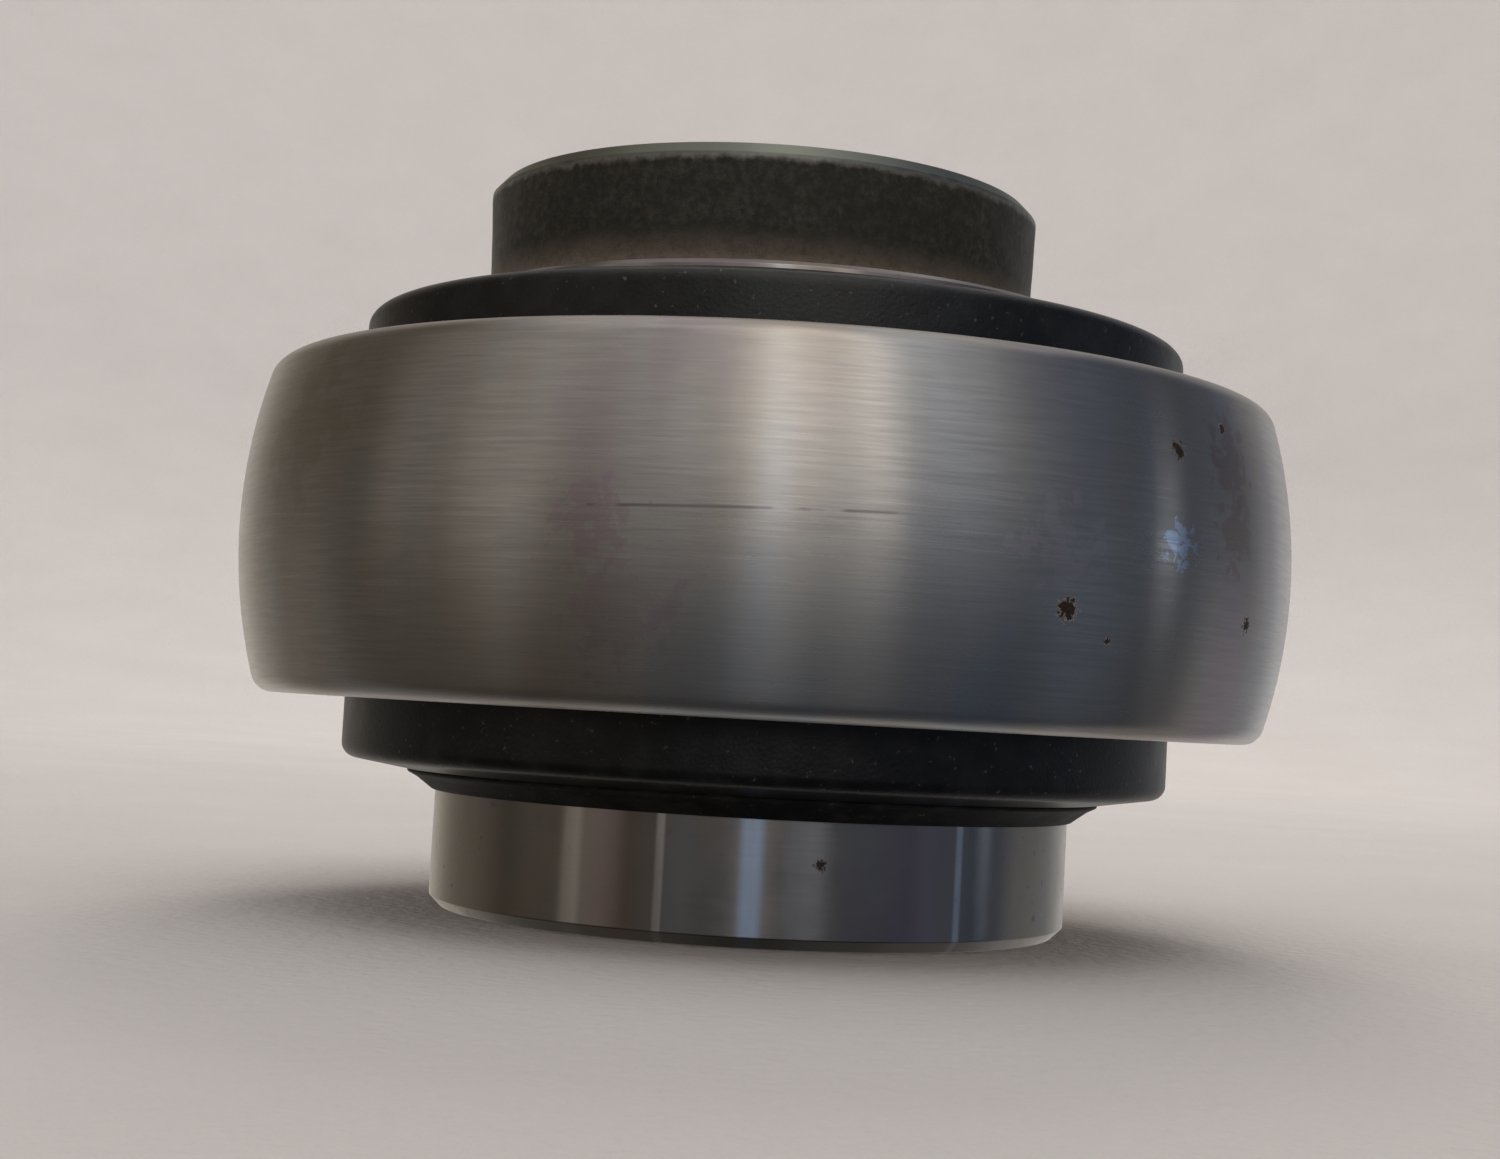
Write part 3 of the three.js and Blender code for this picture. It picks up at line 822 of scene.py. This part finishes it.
def ball(number, material):
    """A sphere made of six square sheets, as on a cube that is blown up."""
    spread = [math.tan(math.pi / 4 * (2 * i / BALL_CELLS - 1)) for i in range(BALL_CELLS + 1)]
    centre = on_pitch_circle(number)
    surface = Surface()
    for axis in range(3):
        for side in (-1, 1):
            rows = []
            for across in spread:
                row = []
                for along in spread:
                    point = Vector((side, across, along)).normalized() * BALL_RADIUS
                    row.append(centre + Vector([point[(i - axis) % 3] for i in range(3)]))
                rows.append(row)
            surface.sheet(rows, side < 0)
    piece = surface.piece(f"ball_{number}_fine")
    finish_piece(piece, f"ball_body_{number}", "ball_steel", material, f"ball_{number}")


def pocket_edge(radius, reach):
    """The angle from a ball's centre at which a circle of the given reach round it crosses a radius."""
    cosine = (radius**2 + PITCH_RADIUS**2 - reach**2) / (2 * radius * PITCH_RADIUS)
    return math.acos(cosine)


def pocket_rows(radii, start, reach, dome, flat):
    """Rows of points across a pocket: a stretch of sphere whose ends lie on the flats."""
    rows = []
    for step in range(-POCKET_STEPS, POCKET_STEPS + 1):
        row = []
        for radius in radii:
            turn = pocket_edge(radius, reach) * math.sin(math.pi / 2 * step / POCKET_STEPS)
            away = radius**2 + PITCH_RADIUS**2 - 2 * radius * PITCH_RADIUS * math.cos(turn)
            height = flat if abs(step) == POCKET_STEPS else math.sqrt(dome**2 - away)
            row.append(around(start + turn, radius, height))
        rows.append(row)
    return rows


def flat_rings(border, centre, flat):
    """Rings of points from the rivet hole out to the border of a flat."""
    rings = []
    for ring in range(HOLE_RINGS):
        points = []
        for point in border:
            outward = Vector((point[0] - centre.x, point[1] - centre.y))
            rim = outward.normalized() * RIVET_HOLE
            here = rim.lerp(outward, ring / HOLE_RINGS)
            points.append((centre.x + here.x, centre.y + here.y, flat))
        rings.append(points)
    return [*rings, border]


def cage_face(number, dome, flat):
    """One face of a cage sector: its pocket's rows, its flat's rings, and its inner and outer edges."""
    reach = math.sqrt(dome**2 - flat**2)
    spacing = 2 * math.pi / BALL_COUNT
    start = spacing * (number - 1)
    width = CAGE_OUTER_RADIUS - CAGE_INNER_RADIUS - 2 * CAGE_EDGE
    radii = [CAGE_INNER_RADIUS + CAGE_EDGE + width * i / CAGE_ROWS for i in range(CAGE_ROWS + 1)]
    pocket = pocket_rows(radii, start, reach, dome, flat)

    def flat_edge(radius):
        low = pocket_edge(radius, reach)
        turns = [low + (spacing - 2 * low) * i / HOLE_STEPS for i in range(1, HOLE_STEPS)]
        return [around(start + turn, radius, flat) for turn in turns]

    near = [around(start + pocket_edge(radius, reach), radius, flat) for radius in radii]
    far = [around(start + spacing - pocket_edge(radius, reach), radius, flat) for radius in radii]
    inner = flat_edge(radii[0])
    outer = flat_edge(radii[-1])
    border = [*near, *outer, *reversed(far), *reversed(inner), near[0]]
    rings = flat_rings(border, on_pitch_circle(number, 0.5), flat)
    return pocket, rings, [row[0] for row in pocket] + inner, [row[-1] for row in pocket] + outer


def pushed(point, change, rise):
    """A point moved outward from the axis and up."""
    scale = 1 + change / math.hypot(point[0], point[1])
    return (point[0] * scale, point[1] * scale, point[2] + rise)


def cage_half(side, direction, material):
    """Half of the ribbon cage: domed pockets over the balls, and flats with rivet holes between them."""
    inside = BALL_RADIUS + POCKET_CLEARANCE
    surface = Surface()
    edges = {-1: ([], []), 1: ([], [])}

    def sheet(rows, turned_over):
        rows = [[(x, y, direction * z) for x, y, z in row] for row in rows]
        surface.sheet(rows, turned_over != (direction < 0))

    for number in range(1, BALL_COUNT + 1):
        top = cage_face(number, inside + CAGE_THICKNESS, CAGE_SPLIT + CAGE_THICKNESS)
        bottom = cage_face(number, inside, CAGE_SPLIT)
        for face, (pocket, rings, inner, outer) in enumerate((top, bottom)):
            sheet(pocket, face == 0)
            sheet(rings, face == 1)
            edges[-1][face].extend(inner)
            edges[1][face].extend(outer)
        sheet([top[1][0], bottom[1][0]], True)
    for outward, sides in edges.items():
        top, bottom = ([*points, points[0]] for points in sides)
        high = [pushed(point, outward * CAGE_EDGE, -CAGE_EDGE) for point in top]
        low = [pushed(point, outward * CAGE_EDGE, CAGE_EDGE) for point in bottom]
        sheet([top, high, low, bottom], outward < 0)
    piece = surface.piece(f"cage_half_{side}_fine")
    finish_piece(piece, "cage", "cage_steel", material, f"cage_half_{side}")


def rivet(number, material):
    """A rivet with a domed head on each side of the cage."""
    under = CAGE_SPLIT + CAGE_THICKNESS + RIVET_GAP
    rise = RIVET_HEAD_HEIGHT - RIVET_RIM
    dome = (RIVET_HEAD**2 + rise**2) / (2 * rise)
    top = under + RIVET_HEAD_HEIGHT
    turn = math.degrees(math.asin(RIVET_HEAD / dome))
    cap = [*arc(0, top - dome, dome, 90 - turn, 90, RIVET_CAP_STEPS)[:-1], (0.0, top)]
    head = [(RIVET_SHANK, under), (RIVET_HEAD - CRISP, under), (RIVET_HEAD, under + CRISP), *cap]
    centre = on_pitch_circle(number, 0.5)

    def shape(angle, radius, height):
        x, y, z = around(angle, radius, height)
        return (centre.x + x, centre.y + y, z)

    piece = lathe(f"cage_rivet_{number}_fine", [*mirrored(head), *head], RIVET_SEGMENTS, shape)
    finish_piece(piece, "cage", "rivet_steel", material, f"cage_rivet_{number}")


# ---------- studio ----------

CAMERA_PLACE = (0.0, -84.97, -5.88)
CAMERA_PAN = 0.006
CAMERA_PITCH = 0.060
CAMERA_ROLL = -0.055
CAMERA_LENS = 52.31
SENSOR_WIDTH = 36
CLIP_START = 0.005
CLIP_END = 10

FLOOR_GAP = 0.01
FLAT_RADIUS = 260
BEND_RADIUS = 420
BEND_STEPS = 32
WALL_HEIGHT = 900
WALL_GLOW = 0.13
STAGE_SEGMENTS = 96
STAGE_DARK = (0.700, 0.662, 0.640)
STAGE_LIGHT = (0.773, 0.740, 0.720)
STAGE_GLOW = (0.84, 0.80, 0.77, 1.0)

WARM = (1.0, 0.91, 0.78)
NEUTRAL = (1.0, 0.97, 0.94)
COOL = (0.74, 0.86, 1.0)
SKY = (0.84, 0.91, 1.0)
SUN = (1.0, 0.95, 0.88)


def add_camera():
    """The camera that sees the object as the photograph does."""
    data = bpy.data.cameras.new("camera")
    data.lens = CAMERA_LENS
    data.sensor_width = SENSOR_WIDTH
    data.clip_start = CLIP_START
    data.clip_end = CLIP_END
    camera = bpy.data.objects.new("camera", data)
    turn = (
        Matrix.Rotation(CAMERA_PAN, 4, "Z")
        @ Matrix.Rotation(CAMERA_PITCH, 4, "X")
        @ Matrix.Rotation(CAMERA_ROLL, 4, "Y")
        @ Matrix.Rotation(math.pi / 2, 4, "X")
    )
    camera.matrix_world = Matrix.Translation(Vector(CAMERA_PLACE) * MM) @ turn
    bpy.context.scene.collection.objects.link(camera)
    bpy.context.scene.camera = camera


def add_stage():
    """A pale floor that rises into a wall all round. The steel doesn't mirror it."""
    floor = -INNER_HALF_WIDTH - FLOOR_GAP
    wall = FLAT_RADIUS + BEND_RADIUS
    bend = arc(FLAT_RADIUS, BEND_RADIUS, BEND_RADIUS, -90, 0, BEND_STEPS)
    outline = [*bend, (wall, WALL_HEIGHT)]
    vertices = [(0, 0, floor)]
    for i in range(STAGE_SEGMENTS):
        for radius, height in outline:
            vertices.append(toward(360 * i / STAGE_SEGMENTS, radius, floor + height))
    rows = len(outline)
    faces = []
    for i in range(STAGE_SEGMENTS):
        here = 1 + i * rows
        there = 1 + (i + 1) % STAGE_SEGMENTS * rows
        faces.append((0, here, there))
        for row in range(rows - 1):
            faces.append((here + row, here + row + 1, there + row + 1, there + row))
    stage = new_piece("stage_floor", vertices, faces)
    finish = Finish("stage_floor")
    cloud = finish.noise(finish.place, 0.05, 4.0)
    weave = finish.noise(finish.place, 1.6, 3.0)
    finish.set(
        Base_Color=finish.mix(cloud, STAGE_DARK, STAGE_LIGHT),
        Roughness=0.9,
        Specular_IOR_Level=0.0,
        Normal=finish.bump(weave, 0.15),
        Emission_Color=STAGE_GLOW,
        Emission_Strength=finish.ramp(finish.radius, FLAT_RADIUS * 0.5, wall, 0.0, WALL_GLOW),
    )
    stage.data.materials.append(finish.material)
    stage.visible_glossy = False


def add_light(name, azimuth, elevation, distance, width, height, radiance, colour):
    """A soft panel aimed at the object, which the steel doesn't mirror. Sizes in millimetres."""
    data = bpy.data.lights.new(name, "AREA")
    data.shape = "RECTANGLE"
    data.size = width * MM
    data.size_y = height * MM
    data.color = colour
    data.energy = radiance * math.pi * data.size * data.size_y
    light = bpy.data.objects.new(name, data)
    rise = math.radians(elevation)
    aim = Vector(toward(azimuth, math.cos(rise), math.sin(rise)))
    light.location = aim * distance * MM
    light.rotation_mode = "QUATERNION"
    light.rotation_quaternion = aim.to_track_quat("Z", "Y")
    light.visible_camera = False
    light.visible_glossy = False
    bpy.context.scene.collection.objects.link(light)


def add_lights():
    """The lights of the matt parts and the stage: a wide one overhead and a key behind the object."""
    add_light("overhead", 180, 88, 650, 800, 800, 0.42, SKY)
    add_light("back_key", 176, 40, 420, 150, 110, 6.6, SUN)


# Panels of light in the studio that the steel mirrors: azimuth, half width and soft edge,
# lowest and highest elevation and soft edge, strength and colour
PANELS = (
    (5, 30, 40, 16, 90, 16, 0.30, NEUTRAL),
    (10, 10, 14, 14, 90, 14, 0.46, WARM),
    (1.5, 2.0, 3, 10, 60, 10, 0.60, COOL),
    (8, 1.5, 2.5, 14, 70, 14, 0.22, WARM),
    (23.5, 2.0, 4, 12, 75, 12, 0.38, WARM),
    (-11, 5, 9, 12, 80, 12, 0.12, NEUTRAL),
    (-56, 6, 10, 2, 60, 14, 0.19, NEUTRAL),
    (-76, 7, 12, 6, 60, 12, 0.11, NEUTRAL),
    (-138, 5, 12, -10, 40, 14, 0.045, WARM),
    (43, 8, 12, 14, 60, 10, 0.13, COOL),
    (72, 6, 10, -30, 60, 12, 0.045, COOL),
    (-56, 3, 6, -14, 4, 8, 0.05, WARM),
    (-25, 2.5, 5, -14, 4, 8, 0.045, COOL),
    (1, 4, 6, -24, 4, 8, 0.08, COOL),
    (20, 4, 6, -14, 4, 8, 0.05, COOL),
    (117, 6, 14, -60, -6, 8, 0.10, WARM),
    (138, 4, 14, 5, 60, 12, 0.12, NEUTRAL),
    (-178, 22, 26, -60, 60, 20, 0.25, WARM),
    (170, 22, 26, -60, 60, 20, 0.09, NEUTRAL),
    (180, 60, 30, -70, -4, 16, 0.10, NEUTRAL),
    (91, 2.0, 2, 3, 10, 3, 0.9, COOL),
    (0, 180, 1, 62, 90, 14, 0.35, NEUTRAL),
)
# The dim room on its left and right, and the share of its light that is left low down
DIM_LEFT = (0.105, 0.089, 0.070)
DIM_RIGHT = (0.074, 0.088, 0.115)
LOW_SHARE = 0.46


def add_world():
    """What the steel mirrors: a dim room, darker low down, with panels of light in it."""
    world = bpy.data.worlds.new("studio")
    world.use_nodes = True
    sky = Nodes(world.node_tree)
    direction = sky.node("ShaderNodeTexCoord").outputs["Generated"]
    x, y, z = sky.node("ShaderNodeSeparateXYZ", {0: direction}).outputs
    level = sky.vector("NORMALIZE", sky.node("ShaderNodeCombineXYZ", {0: x, 1: y}).outputs[0])
    elevation = sky.math("DEGREES", sky.math("ARCSINE", z))
    light = sky.mix(sky.ramp(x, -0.8, 0.8), DIM_LEFT, DIM_RIGHT)
    light = sky.vector("SCALE", light, scale=sky.ramp(elevation, -30, 5, LOW_SHARE, 1.0))
    for azimuth, half_width, edge, low, high, fade, strength, colour in PANELS:
        cosine = sky.vector("DOT_PRODUCT", level, toward(azimuth))
        away = sky.math("DEGREES", sky.math("ARCCOSINE", cosine))
        across = sky.ramp(away, half_width + edge, half_width)
        shine = sky.both(across, sky.band(elevation, low, high, fade), strength)
        light = sky.vector("ADD", light, sky.vector("SCALE", colour, scale=shine))
    background = sky.node("ShaderNodeBackground", {"Color": light})
    output = sky.node("ShaderNodeOutputWorld")
    sky.tree.links.new(background.outputs[0], output.inputs[0])
    bpy.context.scene.world = world
    bpy.context.scene.view_settings.view_transform = "Standard"


# ---------- build ----------

add_camera()
add_stage()
add_lights()
add_world()

outer_ring(ground_steel())
inner_ring(ring_steel())
flash = (LIP_BEAD_RADIUS, *LIP_FLASH)
seal_finishes = (
    dusty_black("seal_black", CAP_BLACK, CAP_GREY, 0.28, 0.42, 0.013),
    dusty_black("seal_rubber", RUBBER_BLACK, RUBBER_GREY, 0.5, 0.75, 0.02, [flash]),
    plain_steel("backing_steel", (0.32, 0.32, 0.33), 0.40, 0.55, 0.004),
)
seal("cam_end", lambda outline: outline, LIP_END_CAM, *seal_finishes)
seal("plain_end", mirrored, LIP_END_PLAIN, *seal_finishes)

cage_steel = plain_steel("cage_steel", (0.52, 0.51, 0.48), 0.32, 0.48, 0.006)
cage_half("cam_end", 1, cage_steel)
cage_half("plain_end", -1, cage_steel)
ball_steel = plain_steel("ball_steel", (0.70, 0.71, 0.72), 0.05, 0.11, 0.0006)
rivet_steel = plain_steel("rivet_steel", (0.60, 0.59, 0.56), 0.28, 0.42, 0.004)
for number in range(1, BALL_COUNT + 1):
    ball(number, ball_steel)
    rivet(number, rivet_steel)
